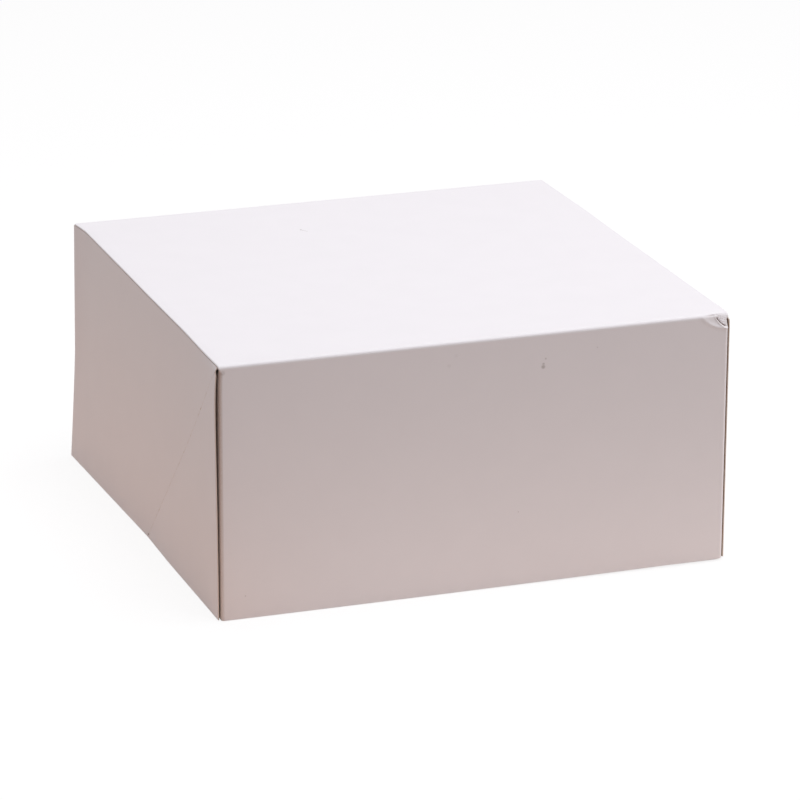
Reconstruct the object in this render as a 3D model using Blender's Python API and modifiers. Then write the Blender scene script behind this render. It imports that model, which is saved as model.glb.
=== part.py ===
"""Folding cake box of white board: a tray and a full-depth lid on the tray's rear top crease.

Metres, +Z up. The origin is on the floor under the middle of the box, and the front faces -Y.
Each panel between two creases is cut flat as an outline, bent where its fold is, and given the
board's thickness inward from its outer face.
"""

import math

import bmesh
import bpy

MM = 0.001

# Board
BOARD = 0.5 * MM
CREASE_GAP = 0.3 * MM  # seam between the two panels that meet at a crease
DIE_RADIUS = 1.2 * MM  # free outer corners of the panels
FLAP_RADIUS = 5.0 * MM  # free corners of the glued flaps

# Tray
TRAY_WIDTH = 250.0 * MM  # over the side walls
TRAY_DEPTH = 247.5 * MM  # over the front and back walls
WALL_HEIGHT = 123.2 * MM
TRAY_FOLD_RADIUS = 0.8 * MM  # outer radius
GLUE_GAP = 0.3 * MM  # tab to the wall that it is glued to
TAB_WIDTH = 32.0 * MM

# Lid
LID_SIDE_PLAY = 0.6 * MM  # tray side wall to the lid's ear
LID_FRONT_PLAY = 0.8 * MM  # tray front wall to the lid's front
LID_TOP_PLAY = 0.3 * MM  # top edges of the tray to the underside of the lid
LID_LIFT = 0.6 * MM  # floor to the lid's lower edges
SLIT = 0.7 * MM  # ear to the side panel in front of its glue line
EAR_WIDTH = 36.0 * MM
LID_TOP_RADIUS = 2.0 * MM  # soft fold between top and front
LID_CORNER_RADIUS = 1.0 * MM  # upright folds between front and ears
CORNER_NOTCH = 3.0 * MM  # the upright fold stops this far under the top fold

# Corners, tray and lid
EDGE_SETBACK = 1.9 * MM  # raw upright edge of a side behind the front or back face
TAB_MARGIN = 3.0 * MM  # slanted edge of a tray tab inside the diagonal
FLAP_TAPER = 2.0 * MM  # how much a tab or ear narrows at its free end
PEAK_WIDTH = 0.6 * MM  # least width of a tray side wall, where its two gussets come together

# Cut and nick line along each diagonal
CUT_LENGTH = 6.0 * MM
NICK_LENGTH = 3.0 * MM
CUT_WIDTH = 0.7 * MM
FIRST_CUT = 7.0 * MM  # from the corner where the creases meet

# Set of the lid's sides: they flare at the rear and tuck in at the foot of the diagonal
FLARE = 2.5 * MM
FLARE_HEIGHT = 57.0 * MM  # the flare starts this far above the lower edge
FLARE_POWER = 1.2
TUCK = 0.9 * MM

# Fineness
BEND_STEPS = 5
CORNER_STEPS = 4
PANEL_STEP = 28.0 * MM

# Sizes that follow
TRAY_FRONT_HALF = TRAY_WIDTH / 2 - BOARD - GLUE_GAP
LID_FRONT_HALF = TRAY_WIDTH / 2 + LID_SIDE_PLAY + BOARD
LID_HALF = LID_FRONT_HALF + SLIT + BOARD
LID_TOP = WALL_HEIGHT + LID_TOP_PLAY + BOARD
LID_DEPTH = TRAY_DEPTH + LID_FRONT_PLAY + BOARD
FRONT_Y = -LID_DEPTH / 2
REAR_Y = LID_DEPTH / 2
TRAY_FRONT_Y = REAR_Y - TRAY_DEPTH
TRAY_MIDDLE_Y = REAR_Y - TRAY_DEPTH / 2
SIDE_DROP = LID_TOP - LID_LIFT  # lid's top to the lower edges of its sides
SEAM_SHIFT = CREASE_GAP / 2 * math.sqrt(2)  # half a seam on a diagonal, measured along an edge

# Directions in which a panel's outer face can look
FRONT = (math.pi / 2, 0, 0)
BACK = (math.pi / 2, 0, math.pi)
LEFT = (math.pi / 2, 0, -math.pi / 2)
RIGHT = (math.pi / 2, 0, math.pi / 2)
UP = (0, 0, 0)
DOWN = (math.pi, 0, 0)

COATED_WHITE = (0.91, 0.90, 0.91)
TRAY_WHITE = (0.86, 0.85, 0.83)
FLAP_WHITE = (0.80, 0.78, 0.75)


def clear_scene():
    """Remove what a new scene holds."""
    for obj in list(bpy.data.objects):
        bpy.data.objects.remove(obj, do_unlink=True)


def board_material(name, colour, roughness):
    """One board finish: coated on show, duller inside."""
    material = bpy.data.materials.new(name + "_board")
    material.use_nodes = True
    shader = material.node_tree.nodes["Principled BSDF"]
    shader.inputs["Base Color"].default_value = (*colour, 1.0)
    shader.inputs["Roughness"].default_value = roughness
    shader.inputs["Metallic"].default_value = 0.0
    material.diffuse_color = (*colour, 1.0)
    return material


def steps_between(low, high, step):
    """Evenly spaced places between low and high, about step apart, ends left out."""
    count = max(1, round((high - low) / step))
    return [low + (high - low) * k / count for k in range(1, count)]


def rounded(points, radii):
    """The outline with an arc of the given radius at each corner named in radii."""
    made = []
    for k, point in enumerate(points):
        radius = radii.get(k, 0.0)
        if radius == 0.0:
            made.append(point)
            continue
        before = points[k - 1]
        after = points[(k + 1) % len(points)]
        towards = [math.atan2(q[1] - point[1], q[0] - point[0]) for q in (before, after)]
        turn = (towards[1] - towards[0] + math.pi) % (2 * math.pi) - math.pi
        middle = towards[0] + turn / 2
        reach = radius / math.sin(abs(turn) / 2)
        centre = (point[0] + reach * math.cos(middle), point[1] + reach * math.sin(middle))
        sweep = math.copysign(math.pi - abs(turn), turn)
        start = middle + math.pi + sweep / 2
        for j in range(CORNER_STEPS + 1):
            angle = start - sweep * j / CORNER_STEPS
            made.append((centre[0] + radius * math.cos(angle), centre[1] + radius * math.sin(angle)))
    return made


def cut_starts(length):
    """Where each cut of a diagonal of that length starts, outward from the corner vertex."""
    pitch = CUT_LENGTH + NICK_LENGTH
    return [FIRST_CUT + k * pitch for k in range(int((length - FIRST_CUT) / pitch))]


def cuts_along_diagonal(length, side):
    """Corner points of the cuts of one panel, outward from the corner vertex at (0, 0).

    The diagonal runs at 45 degrees. side is +1 for the panel on the far side of it (v > h)
    and -1 for the gusset (v < h). Between two cuts the panels keep only the crease's seam.
    """
    made = []
    near = side * CREASE_GAP / 2
    far = side * CUT_WIDTH / 2
    for start in cut_starts(length):
        for along, across in ((start, near), (start, far), (start + CUT_LENGTH, far), (start + CUT_LENGTH, near)):
            made.append(((along + across) / math.sqrt(2), (along - across) / math.sqrt(2)))
    return made


def nick_places(length):
    """Distance of the middle of each nick from either crease, where the sheets are divided."""
    return [(start + CUT_LENGTH + NICK_LENGTH / 2) / math.sqrt(2) for start in cut_starts(length)]


def gusset_outline(height, middle):
    """Triangle between the raw upright edge and the diagonal, as (v, h) from the corner vertex.

    v is the distance from the front or back face and h the distance from the crease. Where the
    diagonal would pass the middle of the side, the gusset ends beside the wall's peak there.
    """
    limit = middle - PEAK_WIDTH / 2 - CREASE_GAP
    reach = min(height - SEAM_SHIFT, limit)
    points = [(EDGE_SETBACK, EDGE_SETBACK + SEAM_SHIFT)]
    points += cuts_along_diagonal(reach * math.sqrt(2), -1)
    points.append((reach, reach + SEAM_SHIFT))
    if height - SEAM_SHIFT > limit:
        points.append((limit, height))
    points.append((EDGE_SETBACK, height))
    return points


def bend(position, axis, start, sign, radius, limit=math.inf):
    """Roll what lies beyond start on an axis inward round a fold of that outer radius.

    Where a limit is given, only what lies up to it on the other axis belongs to the fold.
    """
    angle = sign * (position[axis] - start) / radius
    if angle <= 0 or position[1 - axis] > limit:
        return position
    moved = list(position)
    moved[axis] = start + sign * radius * math.sin(angle)
    moved[2] = position[2] - radius * (1 - math.cos(angle))
    return moved


def fold_length(radius):
    """Board used by a right-angled fold, on its outer face."""
    return radius * math.pi / 2


def panel(name, outline, location, facing, finish, folds=(), lines=(), shape=None, parent=None):
    """One panel of board.

    outline is flat, with x along the panel and y up it. folds are what bend takes after the
    position, lines are (axis, place) where the sheet is divided so that it can curve, and shape
    gives the outward set of a point.
    """
    area = sum(a[0] * b[1] - b[0] * a[1] for a, b in zip(outline, outline[1:] + outline[:1]))
    points = outline if area > 0 else outline[::-1]
    sheet = bmesh.new()
    sheet.faces.new([sheet.verts.new((x, y, 0)) for x, y in points])
    cuts = list(lines)
    for axis, start, sign, radius, *_ in folds:
        cuts += [(axis, start + sign * fold_length(radius) * k / BEND_STEPS) for k in range(BEND_STEPS)]
    for axis, place in cuts:
        centre = [0, 0, 0]
        normal = [0, 0, 0]
        centre[axis] = place
        normal[axis] = 1
        everything = sheet.verts[:] + sheet.edges[:] + sheet.faces[:]
        bmesh.ops.bisect_plane(sheet, geom=everything, dist=1e-7, plane_co=centre, plane_no=normal)
    bmesh.ops.triangulate(sheet, faces=sheet.faces[:])
    for vert in sheet.verts:
        position = list(vert.co)
        if shape:
            position[2] = shape(position[0], position[1])
        for fold in folds:
            position = bend(position, *fold)
        vert.co = position
    mesh = bpy.data.meshes.new(name)
    sheet.to_mesh(mesh)
    sheet.free()
    mesh.materials.append(board_material(name, *finish))
    obj = bpy.data.objects.new(name, mesh)
    obj.location = location
    obj.rotation_euler = facing
    box.objects.link(obj)
    thickness = obj.modifiers.new("board", "SOLIDIFY")
    thickness.thickness = BOARD
    thickness.offset = -1
    thickness.use_even_offset = True
    if parent:
        bpy.context.view_layer.update()
        obj.parent = parent
        obj.matrix_parent_inverse = parent.matrix_world.inverted()
    return obj


def crease(name, location, parent=None):
    """Empty on the axis of a fold that works as a hinge."""
    empty = bpy.data.objects.new(name, None)
    empty.empty_display_size = 0.02
    empty.location = location
    box.objects.link(empty)
    bpy.context.view_layer.update()
    if parent:
        empty.parent = parent
        empty.matrix_parent_inverse = parent.matrix_world.inverted()
    bpy.context.view_layer.update()
    return empty


def mirrored(half):
    """A symmetric outline from the points of its right half, bottom to top."""
    return half + [(-x, y) for x, y in reversed(half)]


def tray_bottom():
    half_width = TRAY_WIDTH / 2 - TRAY_FOLD_RADIUS - CREASE_GAP
    half_depth = TRAY_DEPTH / 2 - TRAY_FOLD_RADIUS - CREASE_GAP
    outline = mirrored([(half_width, -half_depth), (half_width, half_depth)])
    panel("tray_bottom", outline, (0, TRAY_MIDDLE_Y, 0), DOWN, (TRAY_WHITE, 0.7))


def tray_end_wall(name, y, facing):
    """Front or back wall, with its fold to the bottom. Its upright folds belong to the tabs."""
    half = TRAY_FRONT_HALF - TRAY_FOLD_RADIUS - CREASE_GAP
    foot = TRAY_FOLD_RADIUS - fold_length(TRAY_FOLD_RADIUS)
    outline = mirrored([(half, foot), (half, WALL_HEIGHT)])
    folds = [(1, TRAY_FOLD_RADIUS, -1, TRAY_FOLD_RADIUS)]
    panel(name, outline, (0, y, 0), facing, (TRAY_WHITE, 0.6), folds)


def tray_side_wall(name, side):
    """The part of a side wall under its two diagonals.

    Where these come together below the top edge, the wall goes on up as a narrow peak.
    """
    half = TRAY_DEPTH / 2
    foot = TRAY_FOLD_RADIUS - fold_length(TRAY_FOLD_RADIUS)
    peak = half - PEAK_WIDTH / 2 - SEAM_SHIFT
    reach = min(WALL_HEIGHT, peak)
    points = [(EDGE_SETBACK, foot), (EDGE_SETBACK, EDGE_SETBACK - SEAM_SHIFT)]
    points += cuts_along_diagonal(reach * math.sqrt(2), 1)
    points.append((reach + SEAM_SHIFT, reach))
    if WALL_HEIGHT > peak:
        points.append((peak + SEAM_SHIFT, WALL_HEIGHT))
    outline = mirrored([(half - v, h) for v, h in points])
    folds = [(1, TRAY_FOLD_RADIUS, -1, TRAY_FOLD_RADIUS)]
    lines = [(0, end * (half - v)) for v in nick_places(reach * math.sqrt(2)) for end in (-1, 1)]
    facing = LEFT if side < 0 else RIGHT
    location = (side * TRAY_WIDTH / 2, TRAY_MIDDLE_Y, 0)
    panel(name, outline, location, facing, (TRAY_WHITE, 0.6), folds, lines)


def tray_corner(end, end_sign, side_name, side):
    """Gusset of a side wall and the tab of the front or back wall glued behind it.

    end_sign is -1 at the front and +1 at the back, side is -1 on the left and +1 on the right.
    """
    facing = LEFT if side < 0 else RIGHT
    half = TRAY_DEPTH / 2
    gusset = [(side * end_sign * (half - v), h) for v, h in gusset_outline(WALL_HEIGHT, half)]
    lines = [(1, h) for h in nick_places(min(WALL_HEIGHT, half) * math.sqrt(2))]
    location = (side * TRAY_WIDTH / 2, TRAY_MIDDLE_Y, 0)
    name = "tray_" + end + "_" + side_name
    panel(name + "_gusset", gusset, location, facing, (TRAY_WHITE, 0.6), lines=lines)
    radius = TRAY_FOLD_RADIUS
    flap = [
        (radius - fold_length(radius), radius + TAB_MARGIN),
        (radius, radius + TAB_MARGIN),
        (TAB_WIDTH, TAB_WIDTH + TAB_MARGIN),
        (TAB_WIDTH, WALL_HEIGHT - FLAP_TAPER),
        (radius, WALL_HEIGHT),
        (radius - fold_length(radius), WALL_HEIGHT),
    ]
    flap = rounded(flap, {2: FLAP_RADIUS, 3: FLAP_RADIUS})
    outline = [(side * end_sign * (half - v), h) for v, h in flap]
    way = side * end_sign
    folds = [(0, way * (half - radius), way, radius)]
    location = (side * TRAY_FRONT_HALF, TRAY_MIDDLE_Y, 0)
    panel(name + "_tab", outline, location, facing, (FLAP_WHITE, 0.8), folds)


def lid_top(hinge):
    near = LID_TOP_RADIUS + CREASE_GAP - LID_DEPTH
    outline = mirrored([(LID_HALF, near), (LID_HALF, 0)])
    panel("lid_top", outline, (0, REAR_Y, LID_TOP), UP, (COATED_WHITE, 0.5), parent=hinge)


def lid_front(hinge):
    """Front panel with the soft fold at its top and the two upright folds to the ears."""
    flat_half = LID_FRONT_HALF - LID_CORNER_RADIUS
    flat_top = LID_TOP - LID_TOP_RADIUS
    wing = flat_half + fold_length(LID_CORNER_RADIUS)
    wing_top = flat_top - CORNER_NOTCH
    inside_notch = flat_top - CORNER_NOTCH / 2
    half = [
        (wing, LID_LIFT),
        (wing, wing_top),
        (flat_half, wing_top),
        (flat_half, flat_top),
        (LID_HALF, flat_top),
        (LID_HALF, flat_top + fold_length(LID_TOP_RADIUS)),
    ]
    folds = [
        (1, flat_top, 1, LID_TOP_RADIUS),
        (0, flat_half, 1, LID_CORNER_RADIUS, inside_notch),
        (0, -flat_half, -1, LID_CORNER_RADIUS, inside_notch),
    ]
    panel("lid_front", mirrored(half), (0, FRONT_Y, 0), FRONT, (COATED_WHITE, 0.5), folds, parent=hinge)


def side_set(v, h):
    """Outward set of a lid side at a point v behind the front face and h below the lid's top.

    In front of the diagonal the panel is flat and leans in to the diagonal's foot. Behind it the
    set runs evenly from the diagonal to the rear edge, which flares over its lower part.
    """
    if v <= h:
        return -TUCK * v / SIDE_DROP
    rise = (h - SIDE_DROP + FLARE_HEIGHT) / FLARE_HEIGHT
    flare = FLARE * max(0.0, rise) ** FLARE_POWER
    share = (v - h) / (LID_DEPTH - h)
    return (1 - share) * -TUCK * h / SIDE_DROP + share * flare


def lid_side(side_name, side, swing):
    """Rear part of a lid side, behind the diagonal. Its rear and lower edges are free."""
    top = BOARD + CREASE_GAP
    points = [(EDGE_SETBACK, top), (EDGE_SETBACK, EDGE_SETBACK - SEAM_SHIFT)]
    points += cuts_along_diagonal(SIDE_DROP * math.sqrt(2), 1)
    points.append((SIDE_DROP + SEAM_SHIFT, SIDE_DROP))
    points.append((LID_DEPTH, SIDE_DROP))
    points.append((LID_DEPTH, top))
    points = rounded(points, {len(points) - 2: DIE_RADIUS})
    outline = [(side * (FRONT_Y + v), -h) for v, h in points]
    lines = [(0, side * (FRONT_Y + v)) for v in nick_places(SIDE_DROP * math.sqrt(2))]
    lines += [(0, side * (FRONT_Y + v)) for v in steps_between(SIDE_DROP, LID_DEPTH, PANEL_STEP)]
    lines += [(1, -h) for h in steps_between(SIDE_DROP - FLARE_HEIGHT, SIDE_DROP, PANEL_STEP / 2)]
    lines += [(1, -h) for h in steps_between(0, SIDE_DROP - FLARE_HEIGHT, PANEL_STEP)]
    lines.append((1, FLARE_HEIGHT - SIDE_DROP))

    def shape(x, y):
        return side_set(side * x - FRONT_Y, -y)

    location = (side * LID_HALF, 0, LID_TOP)
    facing = LEFT if side < 0 else RIGHT
    name = "lid_" + side_name + "_side"
    panel(name, outline, location, facing, (COATED_WHITE, 0.5), lines=lines, shape=shape, parent=swing)


def lid_gusset(side_name, side, corner):
    """Front triangle of a lid side, glued to the ear behind it."""
    points = gusset_outline(SIDE_DROP, LID_DEPTH)
    outline = [(side * (FRONT_Y + v), -h) for v, h in points]
    lines = [(1, -h) for h in nick_places(SIDE_DROP * math.sqrt(2))]

    def shape(x, y):
        return -TUCK * (side * x - FRONT_Y) / SIDE_DROP

    location = (side * LID_HALF, 0, LID_TOP)
    facing = LEFT if side < 0 else RIGHT
    name = "lid_" + side_name + "_gusset"
    panel(name, outline, location, facing, (COATED_WHITE, 0.5), lines=lines, shape=shape, parent=corner)


def lid_ear(side_name, side, corner):
    """Flap of the lid's front behind the gusset. Its slanted upper edge starts at the notch."""
    start = LID_CORNER_RADIUS + CREASE_GAP
    margin = LID_TOP_RADIUS + CORNER_NOTCH
    points = [
        (start, SIDE_DROP),
        (start, start + margin),
        (EAR_WIDTH, EAR_WIDTH + margin),
        (EAR_WIDTH, SIDE_DROP - FLAP_TAPER),
    ]
    points = rounded(points, {2: FLAP_RADIUS, 3: FLAP_RADIUS})
    outline = [(side * (FRONT_Y + v), -h) for v, h in points]
    location = (side * LID_FRONT_HALF, 0, LID_TOP)
    facing = LEFT if side < 0 else RIGHT
    panel("lid_" + side_name + "_ear", outline, location, facing, (FLAP_WHITE, 0.8), parent=corner)


def build():
    tray_bottom()
    tray_end_wall("tray_front_wall", TRAY_FRONT_Y, FRONT)
    tray_end_wall("tray_back_wall", REAR_Y, BACK)
    hinge = crease("lid_hinge_axis", (0, REAR_Y, LID_TOP))
    lid_top(hinge)
    lid_front(hinge)
    for side_name, side in (("left", -1), ("right", 1)):
        tray_side_wall("tray_" + side_name + "_wall", side)
        tray_corner("front", -1, side_name, side)
        tray_corner("back", 1, side_name, side)
        swing = crease(side_name + "_side_axis", (side * LID_HALF, 0, LID_TOP), hinge)
        lid_side(side_name, side, swing)
        corner_x = side * (LID_FRONT_HALF - BOARD / 2)
        corner = crease(side_name + "_corner_axis", (corner_x, FRONT_Y + LID_CORNER_RADIUS, LID_TOP), hinge)
        lid_gusset(side_name, side, corner)
        lid_ear(side_name, side, corner)


clear_scene()
box = bpy.data.collections.new("cake_box")
bpy.context.scene.collection.children.link(box)
build()
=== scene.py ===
# %% [markdown]
# # A folding cake box of white board
# The real box is one die-cut sheet of coated paperboard: a tray with four glued corners, and a
# full-depth lid that goes on from the crease on top of the tray's back wall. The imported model
# gives every panel's place. This script makes the board itself: soft folds, raw edges, the
# cut-and-nick lines of the corners, the slits beside the upright folds and the knocks of use.

# %% The frame
import math

import bpy
import numpy as np
from mathutils import Matrix, Vector

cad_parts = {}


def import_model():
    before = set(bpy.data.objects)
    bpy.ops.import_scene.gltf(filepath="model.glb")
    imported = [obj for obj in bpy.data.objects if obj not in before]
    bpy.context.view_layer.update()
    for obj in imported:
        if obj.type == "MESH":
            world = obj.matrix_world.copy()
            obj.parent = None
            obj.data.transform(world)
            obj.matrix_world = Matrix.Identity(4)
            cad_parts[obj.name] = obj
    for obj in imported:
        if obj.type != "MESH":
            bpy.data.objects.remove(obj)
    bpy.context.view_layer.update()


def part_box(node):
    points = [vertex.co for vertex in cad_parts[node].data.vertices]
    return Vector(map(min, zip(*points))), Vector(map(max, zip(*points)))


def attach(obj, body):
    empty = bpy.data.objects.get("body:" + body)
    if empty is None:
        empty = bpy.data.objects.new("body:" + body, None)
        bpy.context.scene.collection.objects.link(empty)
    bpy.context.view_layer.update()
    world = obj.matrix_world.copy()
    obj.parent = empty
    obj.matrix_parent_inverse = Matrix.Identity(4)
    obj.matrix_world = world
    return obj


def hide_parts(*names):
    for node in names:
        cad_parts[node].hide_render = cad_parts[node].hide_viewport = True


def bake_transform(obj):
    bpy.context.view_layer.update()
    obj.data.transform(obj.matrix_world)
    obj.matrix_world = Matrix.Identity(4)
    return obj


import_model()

# %% [markdown]
# ## Places taken from the frame
# Each piece of board lies where the solid panel does, so its faces are read from the panels'
# boxes. What is finer than the solids, such as the radius of a fold, is a value of its own.

# %% Faces of the panels
MM = 0.001


def face(node, end, axis):
    """One face of a panel's box: end 0 is the lowest and 1 the highest place on that axis."""
    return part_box(node)[end][axis]


LID_TOP = face("lid_top", 1, 2)
LID_HALF = face("lid_top", 1, 0)
LID_FOOT = face("lid_front", 0, 2)
FRONT_Y = face("lid_front", 0, 1)
REAR_Y = face("lid_top", 1, 1)
EAR_X = face("lid_right_ear", 1, 0)
BOARD = LID_TOP - face("lid_top", 0, 2)
LID_DEPTH = REAR_Y - FRONT_Y
SIDE_DROP = LID_TOP - LID_FOOT
TRAY_HALF = face("tray_right_wall", 1, 0)
TRAY_FRONT_Y = face("tray_front_wall", 0, 1)
TAB_X = face("tray_front_right_tab", 1, 0)
WALL_TOP = face("tray_front_wall", 1, 2)
TRAY_DEPTH = REAR_Y - TRAY_FRONT_Y
print("board %.2f mm thick, lid %.1f mm deep" % (BOARD / MM, LID_DEPTH / MM))

# %% [markdown]
# ## How board folds and is cut
# Board of half a millimetre bends round a crease with a small outer radius. The lid's top fold
# was only pressed over by hand and stays soft. The collapsible corners fold on a line of cuts
# and nicks at close to 45 degrees, which shows as a row of faint dashes where a cut stands open.

# %% Folds and cuts
TOP_RADIUS = 1.7 * MM
UPRIGHT_RADIUS = 1.5 * MM
SIDE_CREASE_RADIUS = 0.6 * MM
TRAY_RADIUS = 0.8 * MM
CREASE_GAP = 0.3 * MM
NOTCH = 0.9 * MM
NOTCH_RISE = 0.4 * MM
EDGE_SETBACK = 1.9 * MM
TIP_SETBACK = {-1: 1.9 * MM, 1: 2.8 * MM}
DIAGONAL_SLOPE = 0.976
FIRST_CUT = 7.0 * MM
CUT_LENGTH = 6.0 * MM
CUT_PITCH = 9.0 * MM
CUT_OPEN = 0.06 * MM
CUT_STEP = 0.03 * MM
SPOT_REACH = 0.8 * MM
SEAM = 0.02 * MM
print("cuts of %.0f mm every %.0f mm along the diagonals" % (CUT_LENGTH / MM, CUT_PITCH / MM))

# %% Flaps and the set of the sides
# TIP_SET has a side's tip: how far it stands out, how far down, and the width of that bell curve.
EAR_WIDTH = 36.0 * MM
EAR_TOP_MARGIN = 0.3 * MM
EAR_GAP = 0.4 * MM
TAB_WIDTH = 32.0 * MM
FLAP_RADIUS = 5.0 * MM
FLAP_TAPER = 2.0 * MM
FLARE = -face("lid_left_side", 0, 0) - LID_HALF - SEAM
FLARE_HEIGHT = 57.0 * MM
FLARE_POWER = 1.2
TUCK = 0.6 * MM
TUCK_REACH = 36.0 * MM
BOW = 0.75 * MM
BOW_HEIGHT = 24.0 * MM
BOW_REACH = 14.0 * MM
TIP_SET = {-1: (0.8 * MM, 2.9 * MM, 1.4 * MM), 1: (-1.1 * MM, 0.8 * MM, 1.8 * MM)}
TIP_REACH = 4.0 * MM
print("the rear corners of the sides flare by %.2f mm" % (FLARE / MM))

# %% [markdown]
# ## Sheets as grids
# A sheet is a grid of points on its outer face. Its rows run along the board and its columns
# across it. Grids make the rest simple: the normals are a cross product of the two directions,
# the inner face is the same grid moved in by the board's thickness, and a cut-out is a mask.

# %% Grid helpers
def lines(*stretches):
    """Places along one direction: each stretch (low, high, step) is divided evenly."""
    parts = []
    for low, high, step in stretches:
        count = max(1, round(abs(high - low) / step))
        parts.append(np.linspace(low, high, count + 1))
    return np.concatenate([part[:-1] for part in parts] + [parts[-1][-1:]])


def outward_normals(points):
    """Unit normals of a grid: the step along the rows crossed with the step along the columns."""
    normal = np.cross(np.gradient(points, axis=0), np.gradient(points, axis=1))
    return normal / np.linalg.norm(normal, axis=2, keepdims=True)


def facing(points, outward):
    """The grid with its columns turned round if its faces would look away from outward."""
    looks = outward_normals(points).reshape(-1, 3).mean(axis=0)
    return points if looks @ np.array(outward) > 0 else points[:, ::-1]


# %% A path that turns
def path(start, heading, places):
    """Points of a path in the Y-Z plane, and its left-hand normals.

    Each step goes the way of the mean of the headings at its two ends, and its length is the
    chord of the arc between them. The points are the running sum of the steps.
    """
    turn = np.diff(heading)
    way = (heading[:-1] + heading[1:]) / 2
    chord = np.diff(places) * np.sinc(turn / (2 * math.pi))
    steps = np.stack([np.cos(way), np.sin(way)], axis=1) * chord[:, None]
    points = np.array(start) + np.vstack([[0.0, 0.0], np.cumsum(steps, axis=0)])
    return points, np.stack([-np.sin(heading), np.cos(heading)], axis=1)


def headings(first, folds, places):
    """Heading at each place: the first one plus a quarter turn at each fold (place, radius)."""
    turns = [np.clip((places - place) / radius, 0, math.pi / 2) for place, radius in folds]
    return first + sum(turns)


# %% Cuts along a diagonal
def cut_open(along, spots=()):
    """Half the gap of a cut-and-nick line at a distance along it: the seam, or a cut's width.

    spots are (place, width) where a nick has torn: each adds its width times a bell curve.
    """
    number = np.floor((along - FIRST_CUT) / CUT_PITCH)
    inside = (along > FIRST_CUT) & (along - FIRST_CUT - number * CUT_PITCH < CUT_LENGTH)
    gap = np.where(inside, CUT_OPEN, SEAM)
    for place, width in spots:
        gap = gap + width * np.exp(-(((along - place) / SPOT_REACH) ** 2))
    return gap


def cut_ends(length):
    """Places a small step before and after the start and the end of each cut."""
    starts = np.arange(FIRST_CUT, length - CUT_LENGTH, CUT_PITCH)
    ends = np.concatenate([starts, starts + CUT_LENGTH])
    return np.concatenate([ends - CUT_STEP, ends + CUT_STEP])


# %% [markdown]
# ## The box is not quite true
# A handled box leans and twists by a millimetre or so. The whole box, tray and lid together,
# takes one smooth shift, so that nothing inside comes loose from what holds it. On top of that
# the lid's foot hangs a little lower at the left and is lifted a little at the front right. The
# shifts were read from the outline in the photograph: one for each corner, and a soft bow of
# the top's left and right edges. A bow is a few pairs of millimetres: how far behind the front,
# and how far to the right the edge lies there.

# %% Set of the whole box
# A corner is named by three numbers: left or right, front or rear, low or high. A spread is how
# far an upright front edge moves to the right, and how far down it has mostly done so.
BOX_SHIFT = np.zeros((2, 2, 2, 3))
BOX_SHIFT[0, 0, 1] = (-0.75, 1.6, 0.0)
BOX_SHIFT[1, 0, 1] = (0.5, 2.6, 0.0)
BOX_SHIFT[0, 1, 1] = (0.75, -0.3, -0.4)
BOX_SHIFT[1, 1, 1] = (0.28, 0.0, 0.0)
BOX_SHIFT[0, 0, 0] = (-1.3, 0.01, 0.0)
BOX_SHIFT[1, 0, 0] = (-0.35, 0.1, 0.0)
BOX_SHIFT *= MM
LID_DROP = np.zeros((2, 2, 2, 3))
LID_DROP[:, :, 0, 2] = ((-0.57, -0.57), (0.45, 0.0))
LID_DROP *= MM
FRONT_SAG = 0.35 * MM
LEFT_SPREAD = (-0.95 * MM, 4.0 * MM)
RIGHT_SPREAD = (0.9 * MM, 1.2 * MM)
SPREAD_REACH = 30.0 * MM
print("the set moves a top corner by up to %.1f mm" % (np.abs(BOX_SHIFT).max() / MM))

# %% Moving points by the set
BOX_LOW = np.array([-LID_HALF, FRONT_Y, 0.0])
BOX_HIGH = np.array([LID_HALF, REAR_Y, LID_TOP])
LEFT_BOW = ((0, 0.4), (25, 0.4), (58, 1.1), (120, 1.2), (150, 1.5), (236, 2.0), (248.8, 0))
RIGHT_BOW = ((0, -0.9), (60, -0.5), (90, -0.3), (150, 0), (185, 0.55), (215, 0.3), (248.8, 0))
BOW_WINDOW = 6.0 * MM


def softened(places, pairs):
    """A soft curve: the mean of the straight lines between the pairs over a window at each place."""
    known, bow = (np.array(pairs) * MM).T
    spread = np.linspace(-BOW_WINDOW, BOW_WINDOW, 9)
    return np.interp(np.asarray(places)[..., None] + spread, known, bow).mean(axis=-1)


def corner_shift(share, shifts):
    """The corners' shifts, each times its three shares of the box, added up."""
    moved = np.zeros(share.shape)
    for corner in np.ndindex(2, 2, 2):
        parts = np.where(np.array(corner) == 1, share, 1 - share)
        moved += parts.prod(axis=-1, keepdims=True) * shifts[corner]
    return moved


def box_set(points):
    """The points moved by the corners' shifts and the bows of the top's side edges.

    A bow fades evenly with the distance from its edge, across the box and down its side. The
    front's upright edges spread outward just below the top, and less and less further down.
    """
    share = np.clip((points - BOX_LOW) / (BOX_HIGH - BOX_LOW), 0, 1)
    moved = points + corner_shift(share, BOX_SHIFT)
    behind = points[..., 1] - FRONT_Y
    left = (1 - share[..., 0]) * softened(behind, LEFT_BOW)
    right = share[..., 0] * softened(behind, RIGHT_BOW)
    moved[..., 0] += share[..., 2] * (left + right)
    down = np.clip(LID_TOP - points[..., 2], 0, None)
    for edge, (spread, depth) in ((-LID_HALF, LEFT_SPREAD), (LID_HALF, RIGHT_SPREAD)):
        away = np.hypot(points[..., 0] - edge, behind) / SPREAD_REACH
        moved[..., 0] += spread * (1 - np.exp(-down / depth)) * share[..., 2] * np.exp(-(away**2))
    return moved


# %% [markdown]
# ## A knocked corner
# The top corner at the front right has had a knock. The front panel is dented there: a leaf of
# board leans in from a soft outer bend, and at a sharp curved rim it folds over into a pocket
# whose floor is wrinkled. The corner itself is pushed in and down. The dent moves points in
# space, so that the outer and the inner face of the board take it alike. The tray's corner
# behind it is pressed in too, a little further and without the fine folds. The lid's side
# follows the dent at its crease only, and stands almost straight below it.

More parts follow.
